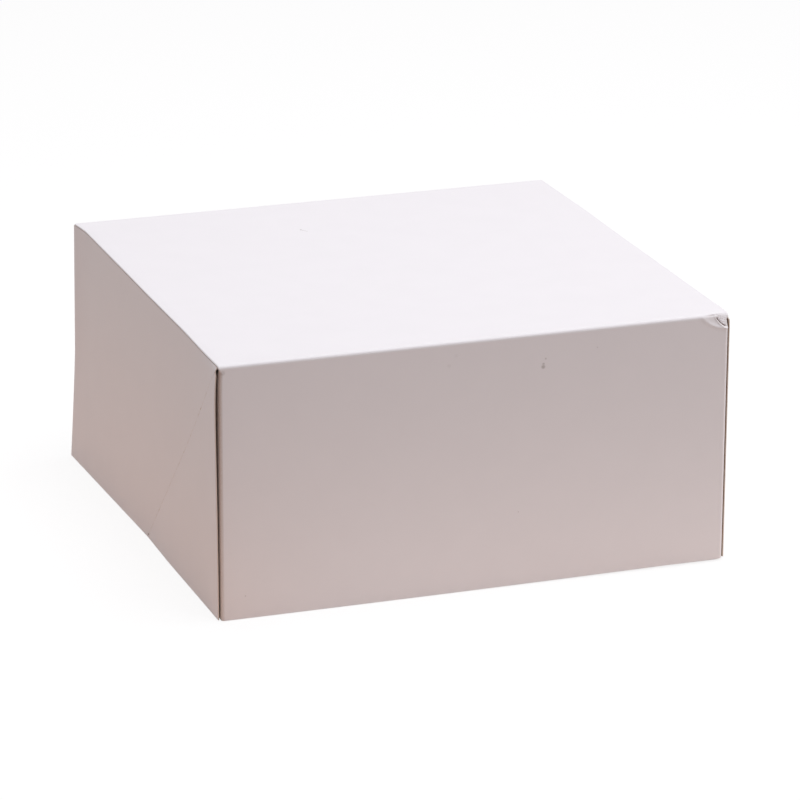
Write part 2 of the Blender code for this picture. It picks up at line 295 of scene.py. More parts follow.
# %% Sizes of the dent
# A reach is a pair: across the front and down it. LIP, RIM and CREVICE are each the place and
# the width of a bell curve, as shares of the outline's reach.
KNOCK_X = 126.0 * MM
LEAF_REACH = (13.2 * MM, 7.3 * MM)
LEAF_POWER = 1.75
LEAF_DEPTH = 2.1 * MM
LIP = (1.0, 0.12)
LIP_HEIGHT = 0.22 * MM
POCKET_REACH = (6.4 * MM, 6.2 * MM)
POCKET_POWER = 1.5
POCKET_FALL = 1.2 * MM
POCKET_DEPTH = 0.3 * MM
POCKET_STEP = 0.14
POCKET_LEAN = 0.4 * MM
CREVICE = (0.92, 0.055)
CREVICE_DEPTH = 1.2 * MM
CREVICE_ENDS = (0.6 * MM, 0.3 * MM)
RIM = (1.045, 0.06)
RIM_HEIGHT = 0.26 * MM
WRINKLE = 0.1 * MM
WRINKLE_LENGTH = 1.7 * MM
WRINKLE_WAYS = ((1.0, 0.6), (-0.5, 0.8))
WRINKLE_START = 1.0
KNOCK_FADE = 6.0 * MM
CORNER_FADE = 3.2 * MM
CORNER_PUSH = 0.4 * MM
CORNER_DROP = 0.8 * MM
FOLD_CREASE_PLACE = (7.8 * MM, 0.7 * MM)
FOLD_CREASE_SIZE = (2.2 * MM, 0.25 * MM)
FOLD_CREASE_DEPTH = 0.4 * MM
TRAY_PRESS = 1.3 * MM
TRAY_PRESS_RIM = 1.3
TRAY_PRESS_STEP = 0.3
SIDE_DENT = 0.15
SIDE_DENT_FADE = 1.2 * MM
# The next two are shade painted into the colour: of the crevice, and of the crease on the top fold.
CREVICE_SHADE = 0.8
FOLD_CREASE_SHADE = 0.25
print("leaf %.1f by %.1f mm, %.1f mm deep" % (LEAF_REACH[0] / MM, LEAF_REACH[1] / MM, LEAF_DEPTH / MM))


# %% Outlines and folds of the dent
def bell(amount, width):
    """A bell curve: e to the power of minus the square of amount over width."""
    return np.exp(-((amount / width) ** 2))


def corner_distances(points):
    """Distances from the front right top corner: across the front, down it and behind it."""
    across = np.clip(KNOCK_X - points[..., 0], 0, None)
    down = np.clip(LID_TOP - points[..., 2], 0, None)
    behind = np.clip(points[..., 1] - FRONT_Y, 0, None)
    return across, down, behind


def outline_share(across, down, reach, power):
    """0 at the corner, 1 on an outline where the powers of its two reaches' shares add up to 1."""
    return ((across / reach[0]) ** power + (down / reach[1]) ** power) ** (1 / power)


def pocket_share(across, down):
    """0 at the pocket's inmost point, a little below the corner, and 1 on its rim."""
    below = np.clip(down - POCKET_FALL, 0, None)
    return outline_share(across, below, POCKET_REACH, POCKET_POWER)


def crevice(across, down):
    """A bell curve across the crevice inside the pocket's rim, which dies out at both its ends."""
    upper_end = np.clip((down - POCKET_FALL - CREVICE_ENDS[1]) / MM, 0, 1)
    right_end = np.clip((across - CREVICE_ENDS[0]) / MM, 0, 1)
    return bell(pocket_share(across, down) - CREVICE[0], CREVICE[1]) * upper_end * right_end


def fold_crease(across, down):
    """A short crease on the top fold: a bell curve along the fold times one across it."""
    along_it = bell(across - FOLD_CREASE_PLACE[0], FOLD_CREASE_SIZE[0])
    return along_it * bell(down - FOLD_CREASE_PLACE[1], FOLD_CREASE_SIZE[1])


def wrinkles(across, down):
    """Fine wrinkles from -1 to 1: the product of two sine waves that run aslant to each other."""
    first, second = [way[0] * across + way[1] * down for way in WRINKLE_WAYS]
    wave = 2 * math.pi / WRINKLE_LENGTH
    return np.sin(wave * first) * np.sin(wave * second + WRINKLE_START)


# %% Points moved by the dent
def eased(share):
    """A share with a soft start and end: three times its square less twice its cube."""
    share = np.clip(share, 0, 1)
    return share * share * (3 - 2 * share)


def broad_dent(across, down):
    """How far lid and tray lean back alike: evenly in from the leaf's outline and the pocket's."""
    leaf = outline_share(across, down, LEAF_REACH, LEAF_POWER)
    pocket = pocket_share(across, down)
    return LEAF_DEPTH * np.clip(1 - leaf, 0, None) + POCKET_LEAN * np.clip(1 - pocket, 0, None)


def pushed(points, depth):
    """Points moved back by a depth that fades behind the front, the corner also in and down."""
    across, down, behind = corner_distances(points)
    corner = bell(np.sqrt(across**2 + down**2 + behind**2), CORNER_FADE)
    moved = points.copy()
    moved[..., 1] += depth * np.exp(-behind / KNOCK_FADE)
    moved[..., 0] -= CORNER_PUSH * corner
    moved[..., 2] -= CORNER_DROP * corner
    return moved


def knocked(points):
    """The lid's points near the front right top corner, with the dent and its fine folds.

    A low lip runs round the leaf. The pocket's floor lies a step deeper than the leaf and is
    wrinkled, and a deep crevice parts it from the raised rim.
    """
    across, down, behind = corner_distances(points)
    leaf = outline_share(across, down, LEAF_REACH, LEAF_POWER)
    pocket = pocket_share(across, down)
    floor_share = eased((1 - pocket) / POCKET_STEP)
    depth = broad_dent(across, down) - LIP_HEIGHT * bell(leaf - LIP[0], LIP[1])
    depth += (POCKET_DEPTH + WRINKLE * wrinkles(across, down)) * floor_share
    depth += CREVICE_DEPTH * crevice(across, down) - RIM_HEIGHT * bell(pocket - RIM[0], RIM[1])
    depth += FOLD_CREASE_DEPTH * fold_crease(across, down)
    return pushed(points, depth)


def pressed(points):
    """The tray's points behind the dent: the broad dent and an even press under the pocket."""
    across, down, behind = corner_distances(points)
    press = TRAY_PRESS * eased((TRAY_PRESS_RIM - pocket_share(across, down)) / TRAY_PRESS_STEP)
    return pushed(points, broad_dent(across, down) + press)


def brushed(points):
    """The points of the lid's sides beside the dent.

    Their share of the broad dent falls by a bell curve, from all of it at the crease to a small
    rest below.
    """
    across, down, behind = corner_distances(points)
    below = np.clip(down - SIDE_CREASE_RADIUS - CREASE_GAP, 0, None)
    share = SIDE_DENT + (1 - SIDE_DENT) * bell(below, SIDE_DENT_FADE)
    return pushed(points, share * broad_dent(across, down))


def knock_painted_shade(points):
    """Shade painted into the colour at the knock: in the crevice and along the top fold's crease."""
    across, down, behind = corner_distances(points)
    knock_shade = CREVICE_SHADE * crevice(across, down) ** 2
    knock_shade += FOLD_CREASE_SHADE * fold_crease(across, down)
    return np.clip(knock_shade, 0, 1) * (behind < BOARD + TOP_RADIUS)


corner = np.array([KNOCK_X, FRONT_Y, LID_TOP])
print("the knock moves the lid's corner by", np.round((knocked(corner) - corner) / MM, 2), "mm")


# %% Places on the tray and the lid
def tray_set(points):
    """A place on the tray: pressed in behind the knock and moved with the box."""
    return box_set(pressed(points))


def lid_set(points, knock=knocked):
    """A place on the lid: knocked, moved with the box and hung a little aslant.

    The front's lower edge sags by half a sine wave, which fades towards the rear and the top.
    """
    share = np.clip((points - BOX_LOW) / (BOX_HIGH - BOX_LOW), 0, 1)
    moved = box_set(knock(points)) + corner_shift(share, LID_DROP)
    sag = FRONT_SAG * np.sin(math.pi * share[..., 0])
    moved[..., 2] -= sag * (1 - share[..., 1]) * (1 - share[..., 2])
    return moved


def lid_side_set(points):
    """A place on a side of the lid, where the knock is weaker."""
    return lid_set(points, brushed)


# %% [markdown]
# ## Finishes
# The board is clay-coated kraft, the usual stock of bakery boxes. Its outer face has a white
# clay coating that was calendered smooth, its inner face is bare brown kraft, which is why the
# slits look warm and not grey, and its raw edge shows the pressed fibres. All three are worked
# out from the object's own coordinates, so they stay with the pieces.

# %% Node helper
def linear(text):
    """An sRGB hex colour as linear light: below 0.04045 a straight line, above it a 2.4 power."""
    values = [int(text[k : k + 2], 16) / 255 for k in (1, 3, 5)]
    light = [v / 12.92 if v <= 0.04045 else ((v + 0.055) / 1.055) ** 2.4 for v in values]
    return (*light, 1.0)


def add(tree, kind, inputs=None, **settings):
    """Adds one node. Each input is a value, or another node's output that is linked to it."""
    made = tree.nodes.new("ShaderNode" + kind)
    for name, value in settings.items():
        setattr(made, name, value)
    for name, value in (inputs or {}).items():
        if isinstance(value, bpy.types.NodeSocket):
            tree.links.new(value, made.inputs[name])
        else:
            made.inputs[name].default_value = value
    return made


def new_material(name):
    """An empty material with its shader and its object coordinates."""
    material = bpy.data.materials.new(name)
    material.use_nodes = True
    tree = material.node_tree
    return material, tree, tree.nodes["Principled BSDF"], add(tree, "TexCoord").outputs["Object"]


def grain(tree, place, size, detail=3.0, roughness=0.5):
    """Noise whose lumps are about size across."""
    inputs = {"Vector": place, "Scale": 1 / size, "Detail": detail, "Roughness": roughness}
    return add(tree, "TexNoise", inputs).outputs["Fac"]


def between(tree, amount, low, high):
    """A colour from low to high with the amount. Each is a hex or linear colour, or an output."""
    first, last = [linear(end) if isinstance(end, str) else end for end in (low, high)]
    inputs = {"Factor": amount, 6: first, 7: last}
    return add(tree, "Mix", inputs, data_type="RGBA").outputs[2]


def bump(tree, height, strength, distance):
    """The normal of a surface whose relief is distance high."""
    inputs = {"Height": height, "Strength": strength, "Distance": distance}
    return add(tree, "Bump", inputs).outputs["Normal"]


def sharpened(tree, amount, low, high):
    """The part of an amount between low and high, stretched to 0 to 1."""
    inputs = {"Value": amount, "From Min": low, "From Max": high}
    return add(tree, "MapRange", inputs, interpolation_type="SMOOTHSTEP").outputs["Result"]


# %% Painted shade and marks
SHADE_BREAKUP_FIBRE = 0.6 * MM
MARK_CORE = 0.3


def painted_shade_amount(tree, place):
    """How much shade is painted into the colour: the piece's attribute of painted shade, broken up by
    fibres.
    """
    painted_shade = add(tree, "Attribute", attribute_name="painted_shade").outputs["Fac"]
    fibres = grain(tree, place, SHADE_BREAKUP_FIBRE, 4.0, 0.7)
    inputs = {"Value": fibres, "From Min": 0.35, "From Max": 0.6, "To Min": 0.75}
    broken = add(tree, "MapRange", inputs).outputs["Result"]
    return add(tree, "Math", {0: painted_shade, 1: broken}, operation="MULTIPLY").outputs[0]


def marks(tree, place, spots):
    """The strongest of some small round marks, each a place, a radius and a strength.

    A mark is strongest in its core and fades to nothing at its radius.
    """
    amount = 0.0
    for spot, radius, strength in spots:
        ends = {0: place, 1: tuple(spot)}
        away = add(tree, "VectorMath", ends, operation="DISTANCE").outputs["Value"]
        inputs = {"Value": away, "From Min": radius, "From Max": MARK_CORE * radius, "To Max": strength}
        mark = add(tree, "MapRange", inputs, interpolation_type="SMOOTHSTEP").outputs["Result"]
        amount = add(tree, "Math", {0: amount, 1: mark}, operation="MAXIMUM").outputs[0]
    return amount


def on_lid(x, y, z):
    """Where a point of the straight lid, in millimetres, lies on this lid."""
    return lid_set(np.array([x, y, z]) * MM)


FRONT_MM = FRONT_Y / MM
TOP_MM = LID_TOP / MM
LID_MARKS = (
    (on_lid(-23.2, 75.8, TOP_MM), 0.75 * MM, 0.7),
    (on_lid(-22.5, 74.6, TOP_MM), 0.7 * MM, 0.4),
    (on_lid(-21.8, 73.4, TOP_MM), 0.7 * MM, 0.35),
    (on_lid(-21.1, 72.3, TOP_MM), 0.7 * MM, 0.25),
    (on_lid(32.2, FRONT_MM, 107.3), 1.4 * MM, 0.5),
    (on_lid(32.3, FRONT_MM, 108.7), 0.9 * MM, 0.4),
    (on_lid(33.4, FRONT_MM, 111.2), 0.7 * MM, 0.3),
    (on_lid(-14.9, FRONT_MM, 112.6), 1.3 * MM, 0.08),
    (on_lid(-11.4, FRONT_MM, 117.2), 1.2 * MM, 0.06),
    (on_lid(-124.9, FRONT_MM, 120.7), 1.7 * MM, 0.22),
    (on_lid(59.5, FRONT_MM, 114.0), 0.5 * MM, 0.25),
    (on_lid(20.5, FRONT_MM, 37.0), 0.5 * MM, 0.25),
    (on_lid(-114.6, FRONT_MM, 11.7), 0.5 * MM, 0.3),
)
print("marks of handling on the lid:", len(LID_MARKS))


# %% Coated face, inner face and raw edge
CLOUD_SIZE = 18 * MM
SHEEN_SIZE = 3 * MM
COATING_GRAIN = 0.7 * MM
COATING_RELIEF = 0.02 * MM
FIBRE_WIDTH = 0.9 * MM
FIBRE_RELIEF = 0.05 * MM
KRAFT_CLOUD = 14 * MM
FLECK_SIZE = 0.6 * MM
EDGE_FIBRE = 0.25 * MM
CLAY_COATING_IOR = 1.5


def coated_board(name, spots=()):
    """Clay-coated white board: a faint cloudy mottle, fine coating grain and a low, soft sheen.

    The piece's attribute of painted shade turns the colour brown: painted shade in the slit beside the
    left upright fold, in the knock's crevice and on its fold crease. spots are small marks of handling.
    """
    material, tree, shader, place = new_material(name)
    cloud = sharpened(tree, grain(tree, place, CLOUD_SIZE, 4.0), 0.3, 0.7)
    colour = between(tree, cloud, "#F0EEF1", "#F1EFF2")
    # Painted shade: the colour turns brown where the attribute of painted shade says that shade falls.
    colour = between(tree, painted_shade_amount(tree, place), colour, "#B59987")
    colour = between(tree, marks(tree, place, spots), colour, "#8F8580")
    tree.links.new(colour, shader.inputs["Base Color"])
    inputs = {"Value": grain(tree, place, SHEEN_SIZE), "To Min": 0.5, "To Max": 0.62}
    tree.links.new(add(tree, "MapRange", inputs).outputs["Result"], shader.inputs["Roughness"])
    shader.inputs["IOR"].default_value = CLAY_COATING_IOR
    relief = grain(tree, place, COATING_GRAIN, 2.0)
    tree.links.new(bump(tree, relief, 0.12, COATING_RELIEF), shader.inputs["Normal"])
    return material


def kraft_face():
    """The bare inner face of unbleached kraft: warm brown, matt, with fibres and darker flecks.

    The fibres lie along the machine direction, so their noise is drawn out four times along X.
    Flecks of bark are the rare peaks of a finer noise.
    """
    material, tree, shader, place = new_material("kraft_inner_face")
    inputs = {"Vector": place, "Scale": (0.25, 1.0, 1.0)}
    drawn_out = add(tree, "Mapping", inputs).outputs["Vector"]
    fibres = grain(tree, drawn_out, FIBRE_WIDTH, 5.0, 0.65)
    tone = between(tree, sharpened(tree, fibres, 0.3, 0.7), "#A98460", "#C9A683")
    clouds = sharpened(tree, grain(tree, place, KRAFT_CLOUD), 0.35, 0.65)
    tone = between(tree, clouds, tone, between(tree, 0.25, tone, "#8F6B4B"))
    fleck = sharpened(tree, grain(tree, drawn_out, FLECK_SIZE, 1.0), 0.68, 0.76)
    tree.links.new(between(tree, fleck, tone, "#6E4F38"), shader.inputs["Base Color"])
    shader.inputs["Roughness"].default_value = 0.9
    tree.links.new(bump(tree, fibres, 0.3, FIBRE_RELIEF), shader.inputs["Normal"])
    return material


def raw_edge():
    """The cut edge: pressed fibres, a little darker and warmer than the faces."""
    material, tree, shader, place = new_material("board_raw_edge")
    fibres = grain(tree, place, EDGE_FIBRE, 4.0, 0.7)
    tree.links.new(between(tree, fibres, "#DCCFC4", "#EFE7DF"), shader.inputs["Base Color"])
    shader.inputs["Roughness"].default_value = 0.95
    tree.links.new(bump(tree, fibres, 0.5, FIBRE_RELIEF), shader.inputs["Normal"])
    return material


INNER = kraft_face()
EDGE = raw_edge()
LID_FINISH = (coated_board("lid_coated_face", LID_MARKS), INNER, EDGE)
TRAY_FINISH = (coated_board("tray_coated_face"), INNER, EDGE)
print("finishes:", ", ".join(material.name for material in (*LID_FINISH, TRAY_FINISH[0])))

# %% [markdown]
# ## From a grid to a piece of board
# The outer and inner faces and the raw edge are joined into one closed mesh. An edge strip goes
# wherever a kept square has no kept neighbour, so a cut-out gets its raw edge for nothing.

# %% A piece of board
SHARP_ANGLE = math.radians(40)


def board(name, outer, finish, setting, keep=None, painted_shade=None):
    """A closed mesh of a sheet: outer face, inner face one thickness behind it, and raw edges.

    setting moves both faces to where they lie on this box. The last argument says, point by point, how
    much shade is painted into the outer face's colour.
    """
    rows, columns = outer.shape[:2]
    if keep is None:
        keep = np.ones((rows - 1, columns - 1), bool)
    inner = outer - BOARD * outward_normals(outer)
    index = np.arange(rows * columns).reshape(rows, columns)
    square = np.stack([index[:-1, :-1], index[1:, :-1], index[1:, 1:], index[:-1, 1:]], axis=-1)
    padded = np.pad(keep, 1)
    beside = (padded[1:-1, :-2], padded[2:, 1:-1], padded[1:-1, 2:], padded[:-2, 1:-1])
    front = square[keep]
    back = front[:, ::-1] + index.size
    edges = []
    for side, neighbour in enumerate(beside):
        open_side = square[keep & ~neighbour]
        start = open_side[:, side]
        end = open_side[:, (side + 1) % 4]
        edges.append(np.stack([end, start, start + index.size, end + index.size], axis=-1))
    rim = np.concatenate(edges)
    faces = np.concatenate([front, back, rim])
    used, faces = np.unique(faces, return_inverse=True)
    corners = setting(np.concatenate([outer.reshape(-1, 3), inner.reshape(-1, 3)])[used])
    mesh = bpy.data.meshes.new(name)
    mesh.from_pydata(corners.tolist(), [], faces.reshape(-1, 4).tolist())
    kinds = np.repeat([0, 1, 2], [len(front), len(back), len(rim)])
    mesh.polygons.foreach_set("material_index", kinds.astype(np.int32))
    for material in finish:
        mesh.materials.append(material)
    if painted_shade is not None:
        values = np.concatenate([painted_shade.ravel(), np.zeros(index.size)])[used]
        shade_layer = mesh.attributes.new("painted_shade", "FLOAT", "POINT")
        shade_layer.data.foreach_set("value", values.astype(np.float32))
    mesh.shade_smooth()
    mesh.set_sharp_from_angle(angle=SHARP_ANGLE)
    mesh.update()
    piece = bpy.data.objects.new(name, mesh)
    bpy.context.scene.collection.objects.link(piece)
    print("%-26s %6d faces" % (name, len(mesh.polygons)))
    return piece


def seat(piece, body, slot, *nodes):
    """The piece rides on its body and stands for its nodes. slot is not used."""
    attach(piece, body)
    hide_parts(*nodes)


# %% [markdown]
# ## The lid's top and front
# Top panel, soft top fold, front panel and the two upright folds are one sheet. Every row of
# its grid has a half width and an edge radius: along the top the edge rolls down into the side
# crease, and below the notch it rolls back round the upright fold towards the ear. The notch is
# the small gap that the die leaves at each top front corner, where three folds meet.

# %% Rows and columns of the lid
ROLL_STEPS = 7
BEVEL_POWER = 1.7
TOP_FLAT = LID_DEPTH - TRAY_RADIUS - TOP_RADIUS
FOLD_END = TOP_FLAT + TOP_RADIUS * math.pi / 2
FRONT_END = FOLD_END + LID_TOP - TOP_RADIUS - LID_FOOT
NOTCH_TOP = FOLD_END - NOTCH_RISE
CORNER_REACH = 2.4 * MM
NOTCH_COLUMNS = 4

# Stretches of rows, each from, to and about how far apart: fine on the fold and at the knock.
lid_rows = lines(
    (0, TOP_FLAT - 20 * MM, 6 * MM),
    (TOP_FLAT - 20 * MM, TOP_FLAT, 0.7 * MM),
    (TOP_FLAT, NOTCH_TOP, 0.2 * MM),
    (NOTCH_TOP, NOTCH_TOP + NOTCH, 0.3 * MM),
    (NOTCH_TOP + NOTCH, FOLD_END + 6 * MM, 0.11 * MM),
    (FOLD_END + 6 * MM, FOLD_END + 10 * MM, 0.3 * MM),
    (FOLD_END + 10 * MM, FOLD_END + 16 * MM, 0.6 * MM),
    (FOLD_END + 16 * MM, FRONT_END, 5 * MM),
)
lid_shares = lines((-1, 0.8, 0.05), (0.8, 0.86, 0.01), (0.86, 0.945, 0.0025), (0.945, 1, 0.0009))


def rolled_columns(shares, steps):
    """Share of the flat half width, and angle of roll, of each column from left to right."""
    roll = np.linspace(0, math.pi / 2, steps + 1)[1:]
    share = np.concatenate([-np.ones(steps), shares, np.ones(steps)])
    angle = np.concatenate([-roll[::-1], np.zeros(len(shares)), roll])
    return share, angle


def rolled_sheet(start, first, folds, places, half, radius, shares, steps, right_power=1.0):
    """Grid of a folded sheet whose left and right edges roll inward.

    The rows follow a path. On a row, x is the column's share of the flat half width plus the
    radius times the sine of its roll, and the point sinks along the path's inward normal by
    the radius times one minus the cosine. On the right a power above one, up to two, flattens
    the roll towards a bevel.
    """
    along, inward = path(start, headings(first, folds, places), places)
    share, angle = rolled_columns(shares, steps)
    power = np.where(angle > 0, right_power, 1)
    turned = np.sign(angle) * np.abs(np.sin(angle)) ** power
    x = (half - radius)[:, None] * share + radius[:, None] * turned
    sink = radius[:, None] * (1 - np.cos(angle) ** power)
    flat = along[:, None, :] + inward[:, None, :] * sink[:, :, None]
    return np.concatenate([x[:, :, None], flat], axis=2)


roll_share = np.clip((lid_rows - NOTCH_TOP) / CORNER_REACH, 0, 1)
lid_half = LID_HALF + roll_share * (EAR_X - LID_HALF)
lid_radius = SIDE_CREASE_RADIUS + roll_share * (UPRIGHT_RADIUS - SIDE_CREASE_RADIUS)
lid_start = (REAR_Y - TRAY_RADIUS, LID_TOP)
lid_folds = [(TOP_FLAT, TOP_RADIUS)]
lid_sheet = rolled_sheet(
    lid_start, math.pi, lid_folds, lid_rows, lid_half, lid_radius, lid_shares, ROLL_STEPS, BEVEL_POWER
)
print("lid sheet", lid_sheet.shape)

# %% The notch and the lid piece
# Painted shade on the left upright fold, where the gusset's raw edge stands proud of it; the right fold
# gets none. It is fullest just below the notch and eases off towards the foot, and the knock adds its
# own.
LEFT_FOLD_SHADE = 1.0
RIGHT_FOLD_SHADE = 0.0
FOOT_FOLD_SHADE = 0.6
FOLD_SHADE_POWER = 0.7
FOLD_SHADE_START = NOTCH_TOP - 1.4 * MM
FOLD_SHADE_FULL = NOTCH_TOP + 0.3 * MM

row_middle = (lid_rows[:-1] + lid_rows[1:]) / 2
in_notch = (row_middle > NOTCH_TOP) & (row_middle < NOTCH_TOP + NOTCH)
in_roll = np.zeros(lid_sheet.shape[1] - 1, bool)
in_roll[:NOTCH_COLUMNS] = True
in_roll[-NOTCH_COLUMNS:] = True
lid_keep = ~(in_notch[:, None] & in_roll[None, :])

rolled = rolled_columns(lid_shares, ROLL_STEPS)[1] / (math.pi / 2)
column_shade = np.where(rolled < 0, LEFT_FOLD_SHADE, RIGHT_FOLD_SHADE) * np.abs(rolled) ** FOLD_SHADE_POWER
row_shade = np.interp(lid_rows, (FOLD_SHADE_START, FOLD_SHADE_FULL, FRONT_END), (0, 1, FOOT_FOLD_SHADE))
lid_painted_shade = np.maximum(row_shade[:, None] * column_shade[None, :], knock_painted_shade(lid_sheet))

lid_cover = board("lid_top_and_front", lid_sheet, LID_FINISH, lid_set, lid_keep, lid_painted_shade)
seat(lid_cover, "lid", "lid_board", "lid_top", "lid_front")

# %% [markdown]
# ## The lid's sides
# Behind the diagonal a side panel is free at its rear and lower edges, and flares out at the
# lower rear corner. In front of it the gusset leans in, since the ear that it is glued to
# holds it. Both are grids between the diagonal and an upright edge, so that the border can
# follow the cuts exactly.

# %% Set of a side
def side_set(v, h):
    """How far a side stands out, v behind the front face and h below the lid's top.

    In front of the diagonal it is part of a cone whose tip is the top front corner: it leans
    in near the diagonal only, the more the lower it is. Behind the diagonal the set runs
    evenly from the diagonal's to that of the rear edge, a power of how far down it is.
    """
    down = np.minimum(h, SIDE_DROP) / SIDE_DROP
    border = down * SIDE_DROP * DIAGONAL_SLOPE
    lean = -TUCK * down * np.clip(1 - (border - v) / (TUCK_REACH * down), 0, 1)
    rise = np.clip((h - SIDE_DROP + FLARE_HEIGHT) / FLARE_HEIGHT, 0, None)
    share = np.clip((v - border) / (LID_DEPTH - border), 0, 1)
    behind = (1 - share) * -TUCK * down + share * FLARE * rise**FLARE_POWER
    return np.where(v <= border, lean, behind)


def upright_bow(v, h):
    """How far the left side's raw upright edge bows out: a rise and a slow fall on the way down.

    The bow is a share times e to the power of one less that share, so it is greatest where the
    share is one, and it dies away behind the edge by a bell curve.
    """
    share = h / BOW_HEIGHT
    return BOW * share * np.exp(1 - share) * bell(v, BOW_REACH)


def tip_set(v, h, side):
    """How far a side's top front tip stands out, by bell curves: out on the left, in on the right."""
    amount, place, width = TIP_SET[side]
    return amount * bell(h - place, width) * bell(v, TIP_REACH)


def side_points(v, h, side):
    """Points of a lid side's outer face. side is -1 on the left and +1 on the right."""
    x = side * (LID_HALF + side_set(v, h) + tip_set(v, h, side))
    if side < 0:
        x = x - upright_bow(v, h)
    return np.stack(np.broadcast_arrays(x, FRONT_Y + v, LID_TOP - h), axis=2)


# %% Side panels and gussets of the lid
# The left diagonal's torn nicks: how far along it, and how much wider than the seam.
TORN_NICKS = MM * np.array([
    (25.5, 0.1), (40.8, 0.3), (46.5, 0.14), (67.9, 0.18), (75, 0.07),
    (84.7, 0.14), (96.5, 0.14), (145.5, 0.18), (151, 0.1), (172, 0.3),
])
NICKS = {-1: TORN_NICKS, 1: ()}
BLUNT_TIP = 0.4 * MM
LEAST_STEP = 0.1 * MM
EAR_ROUND_END = 0.999
spot_rows = (TORN_NICKS[:, :1] + lines((-1, 1, 0.25)) * 2 * SPOT_REACH).ravel() / math.sqrt(2)
side_rows = np.unique(np.concatenate([
    lines((SIDE_CREASE_RADIUS + CREASE_GAP, 12 * MM, 0.5 * MM), (12 * MM, SIDE_DROP, 3 * MM)),
    cut_ends(SIDE_DROP * math.sqrt(2)) / math.sqrt(2),
    spot_rows[spot_rows < SIDE_DROP],
]))
side_columns = lines((0, 0.1, 0.02), (0.1, 1, 0.05))


def lid_side(name, side):
    """The panel behind the diagonal: v runs from the border to the rear edge."""
    h = side_rows[:, None]
    gap = cut_open(h * math.sqrt(2), NICKS[side]) * math.sqrt(2)
    border = np.maximum(h * DIAGONAL_SLOPE + gap, TIP_SETBACK[side])
    v = border + side_columns * (LID_DEPTH - border)
    points = facing(side_points(v, h, side), (side, 0, 0))
    piece = board("lid_" + name + "_side_panel", points, LID_FINISH, lid_side_set)
    seat(piece, "lid_" + name + "_panel", "lid_board", "lid_" + name + "_side")


def lid_gusset(name, side):
    """The front triangle: v runs from the raw upright edge to the border."""
    first = TIP_SETBACK[side] / DIAGONAL_SLOPE + BLUNT_TIP
    h = np.concatenate([[first], side_rows[side_rows > first + LEAST_STEP]])[:, None]
    gap = cut_open(h * math.sqrt(2), NICKS[side]) * math.sqrt(2)
    v = EDGE_SETBACK + side_columns[::-1] * (h * DIAGONAL_SLOPE - gap - EDGE_SETBACK)
    points = facing(side_points(v, h, side), (side, 0, 0))
    piece = board("lid_" + name + "_gusset_panel", points, LID_FINISH, lid_side_set)
    seat(piece, "lid_" + name + "_corner", "lid_board", "lid_" + name + "_gusset")


def lid_ear(name, side):
    """The flap glued behind the gusset.

    Its top edge follows the diagonal a margin below it, and its bottom edge tapers. Each column
    runs from the top edge to the bottom edge, and near the free end both draw in by the fall
    of a circle, which makes its corners round.
    """
    bend = EAR_WIDTH - FLAP_RADIUS
    v = lines((UPRIGHT_RADIUS + EAR_GAP, bend, 3 * MM), (bend, EAR_WIDTH, 0.5 * MM))
    reach = np.clip((v - bend) / FLAP_RADIUS, 0, EAR_ROUND_END)
    fall = FLAP_RADIUS * (1 - np.sqrt(1 - reach**2))
    top = v / DIAGONAL_SLOPE + EAR_TOP_MARGIN + fall
    bottom = SIDE_DROP - FLAP_TAPER * v / EAR_WIDTH - fall
    h = top + lines((0, 1, 0.05))[:, None] * (bottom - top)
    points = np.stack(np.broadcast_arrays(side * EAR_X, FRONT_Y + v, LID_TOP - h), axis=2)
    points = facing(points, (side, 0, 0))
    piece = board("lid_" + name + "_ear_flap", points, LID_FINISH, lid_set)
    seat(piece, "lid_" + name + "_corner", "flap_board", "lid_" + name + "_ear")


for name, side in (("left", -1), ("right", 1)):
    lid_side(name, side)
    lid_gusset(name, side)
    lid_ear(name, side)

# %% [markdown]
# ## The tray
# Bottom, front wall and back wall are one strip, folded twice. Its left and right edges roll up
# too: beside the bottom they go on as the side walls under the diagonals, and beside the front
# and back walls as the glue tabs. Both are flaps, whose length differs from row to row.

# %% Rows of the tray
TRAY_STEP = 4 * MM
WALL_FLAT = WALL_TOP - TRAY_RADIUS
QUARTER = TRAY_RADIUS * math.pi / 2
BOTTOM_START = WALL_FLAT + QUARTER
BOTTOM_END = BOTTOM_START + TRAY_DEPTH - 2 * TRAY_RADIUS
BACK_START = BOTTOM_END + QUARTER
BACK_END = BACK_START + WALL_FLAT
half_depth = TRAY_DEPTH / 2
bottom_cuts = cut_ends(half_depth * math.sqrt(2)) / math.sqrt(2) - TRAY_RADIUS
tray_rows = np.unique(np.concatenate([
    lines((0, WALL_FLAT, TRAY_STEP), (WALL_FLAT, BOTTOM_START, 0.2 * MM)),
    lines((BOTTOM_START, BOTTOM_END, TRAY_STEP), (BOTTOM_END, BACK_START, 0.2 * MM)),
    lines((BACK_START, BACK_END, TRAY_STEP)),
    BOTTOM_START + bottom_cuts,
    BOTTOM_END - bottom_cuts,
    [BOTTOM_START + EDGE_SETBACK, BOTTOM_END - EDGE_SETBACK],
]))
print("tray rows", len(tray_rows))


# %% The tray's strip
TAB_MARGIN = 3 * MM
LEAST_FLAP = 0.05 * MM
TRAY_ROLL_STEPS = 5


def tray_flaps(places):
    """Length of the flap beside each row, and whether the row is on a wall.

    Beside a wall it is the tab: as long as the row is high, less a margin, up to the tab's
    width. Beside the bottom it is the side wall: as high as the row is far from the nearer end.
    """
    from_ends = np.minimum(places, BACK_END - places)
    height = WALL_TOP - from_ends
    tab = np.minimum(height - TAB_MARGIN, TAB_WIDTH) - TRAY_RADIUS
    inset = from_ends - BOTTOM_START + TRAY_RADIUS
    gap = cut_open(inset * math.sqrt(2)) * math.sqrt(2)
    wall = np.minimum(inset - gap, WALL_TOP) - TRAY_RADIUS
    on_wall = from_ends < WALL_FLAT
    length = np.where(on_wall, tab, wall)
    return np.maximum(length, LEAST_FLAP), on_wall


